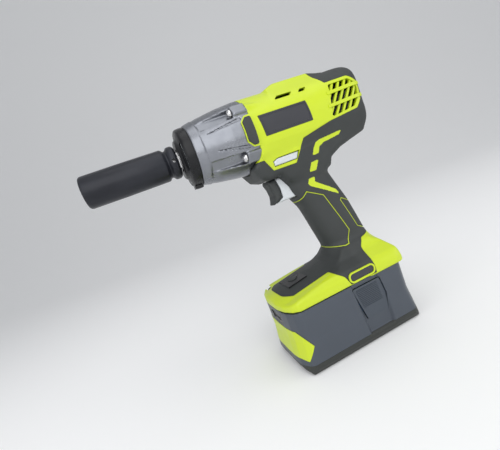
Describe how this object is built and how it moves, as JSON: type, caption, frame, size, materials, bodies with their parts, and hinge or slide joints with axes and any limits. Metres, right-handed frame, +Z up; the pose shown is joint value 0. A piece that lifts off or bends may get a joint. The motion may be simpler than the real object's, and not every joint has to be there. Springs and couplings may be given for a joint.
{
  "type": "cordless impact wrench",
  "caption": "Pistol-shaped cordless impact wrench with a deep socket on its square drive, a cast hammer case, a vented two-tone housing and a slide-in battery foot.",
  "frame": {"origin": "on the floor, under the middle of the battery's flat base, on the tool's middle plane", "axes": "+Z up, the socket points along -X, the trigger and handle hang below the spindle line, and the middle plane is Y = 0"},
  "size_m": [0.2585, 0.0756, 0.2508],
  "materials": {
    "lime_plastic": "fine satin texture",
    "grey_rubber": "soft matt overmould",
    "cast_aluminium": "die-cast, lightly blasted",
    "black_plastic": "matt",
    "pack_plastic": "satin",
    "black_steel": "black phosphate, oiled",
    "bright_steel": "machined",
    "silver_plastic": "satin, faintly metallic",
    "clear_plastic": "clear",
    "bronze": "sintered, oiled",
    "copper": "enamelled or bare copper",
    "board": "solder mask",
    "carbon": "pressed graphite",
    "ferrite": "ground ferrite",
    "cell_wrap": "shrink wrap",
    "red_lead": "insulated lead"
  },
  "bodies": {
    "housing": {"housing_left": "lime_plastic", "housing_right": "lime_plastic", "overmould_left": "grey_rubber", "overmould_right": "grey_rubber", "gear_case": "cast_aluminium", "nose_cap": "black_plastic", "lamp_lenses": "clear_plastic", "gear_case_screws": "bright_steel", "housing_screws": "black_steel", "side_badges": "grey_rubber", "foot_badges": "lime_plastic", "anvil_bushing": "bronze", "anvil_seal": "grey_rubber", "ring_gear": "bright_steel", "gearbox_plate": "cast_aluminium", "carrier_bearing": "bright_steel", "front_motor_bearing": "bright_steel", "rear_motor_bearing": "bright_steel", "motor_can": "bright_steel", "motor_magnets": "ferrite", "brush_bell": "black_plastic", "carbon_brushes": "carbon", "switch_module": "black_plastic", "control_board": "board", "speed_panel": "black_plastic", "terminal_block": "black_plastic", "power_leads": "red_lead", "trigger_spring": "bright_steel"},
    "anvil": {"anvil": "bright_steel", "friction_ring": "grey_rubber"},
    "socket": {"socket": "black_steel"},
    "camshaft": {"camshaft": "bright_steel", "cam_balls": "bright_steel", "planet_pins": "bright_steel", "hammer_spring": "bright_steel"},
    "hammer": {"hammer": "bright_steel"},
    "planet_1": {"planet_gear_1": "bright_steel"},
    "planet_2": {"planet_gear_2": "bright_steel"},
    "planet_3": {"planet_gear_3": "bright_steel"},
    "rotor": {"rotor_shaft": "bright_steel", "rotor_core": "bright_steel", "rotor_windings": "copper", "commutator": "copper", "cooling_fan": "black_plastic", "sun_pinion": "bright_steel"},
    "trigger": {"trigger": "silver_plastic", "trigger_pad": "grey_rubber"},
    "selector": {"direction_selector": "silver_plastic"},
    "mode_button": {"speed_button": "grey_rubber"},
    "battery": {"battery_case": "pack_plastic", "battery_base": "black_plastic", "battery_front_trim": "lime_plastic", "battery_cells": "cell_wrap", "battery_board": "board", "stem_contacts": "copper", "gauge_panel": "black_plastic", "battery_screws": "black_steel"},
    "release_left": {"release_button_left": "pack_plastic"},
    "release_right": {"release_button_right": "pack_plastic"},
    "gauge_button": {"gauge_button": "black_plastic"}
  },
  "joints": [
    {"name": "rotor_spin", "type": "hinge", "parent": "housing", "child": "rotor", "pos_m": [0, 0, 0.211], "axis": [1, 0, 0], "continuous": true},
    {"name": "camshaft_spin", "type": "hinge", "parent": "housing", "child": "camshaft", "pos_m": [0, 0, 0.211], "axis": [1, 0, 0], "continuous": true},
    {"name": "planet_1_spin", "type": "hinge", "parent": "camshaft", "child": "planet_1", "pos_m": [-0.016, 0, 0.1984], "axis": [1, 0, 0], "continuous": true},
    {"name": "planet_2_spin", "type": "hinge", "parent": "camshaft", "child": "planet_2", "pos_m": [-0.016, 0.01091, 0.2173], "axis": [1, 0, 0], "continuous": true},
    {"name": "planet_3_spin", "type": "hinge", "parent": "camshaft", "child": "planet_3", "pos_m": [-0.016, -0.01091, 0.2173], "axis": [1, 0, 0], "continuous": true},
    {"name": "anvil_spin", "type": "hinge", "parent": "housing", "child": "anvil", "pos_m": [-0.08, 0, 0.211], "axis": [1, 0, 0], "continuous": true},
    {"name": "hammer_retreat", "type": "slide", "parent": "camshaft", "child": "hammer", "axis": [1, 0, 0], "range_m": [0, 0.008], "stiffness_N_per_m": 9000, "springref_m": -0.006, "deforming": ["hammer_spring"]},
    {"name": "socket_pull", "type": "slide", "parent": "anvil", "child": "socket", "axis": [-1, 0, 0], "range_m": [0, 0.022]},
    {"name": "trigger_pull", "type": "slide", "parent": "housing", "child": "trigger", "axis": [1, 0, 0], "range_m": [0, 0.0065], "stiffness_N_per_m": 900, "springref_m": -0.004, "deforming": ["trigger_spring"]},
    {"name": "selector_slide", "type": "slide", "parent": "housing", "child": "selector", "axis": [0, 1, 0], "range_m": [-0.0035, 0.0035]},
    {"name": "mode_press", "type": "slide", "parent": "housing", "child": "mode_button", "axis": [0, 0, -1], "range_m": [0, 0.0009], "stiffness_N_per_m": 600, "springref_m": -0.0005},
    {"name": "battery_slide", "type": "slide", "parent": "housing", "child": "battery", "axis": [0, 0, -1], "range_m": [0, 0.056]},
    {"name": "release_left_press", "type": "slide", "parent": "battery", "child": "release_left", "axis": [0, 1, 0], "range_m": [0, 0.002], "stiffness_N_per_m": 1500, "springref_m": -0.001},
    {"name": "release_right_press", "type": "slide", "parent": "battery", "child": "release_right", "axis": [0, -1, 0], "range_m": [0, 0.002], "stiffness_N_per_m": 1500, "springref_m": -0.001},
    {"name": "gauge_press", "type": "slide", "parent": "battery", "child": "gauge_button", "axis": [1, 0, 0], "range_m": [0, 0.0008], "stiffness_N_per_m": 600, "springref_m": -0.0005}
  ],
  "couplings": [
    {"joint": "camshaft_spin", "follows": "rotor_spin", "ratio": 0.16667},
    {"joint": "anvil_spin", "follows": "rotor_spin", "ratio": 0.16667},
    {"joint": "planet_1_spin", "follows": "rotor_spin", "ratio": -0.41667},
    {"joint": "planet_2_spin", "follows": "rotor_spin", "ratio": -0.41667},
    {"joint": "planet_3_spin", "follows": "rotor_spin", "ratio": -0.41667}
  ]
}
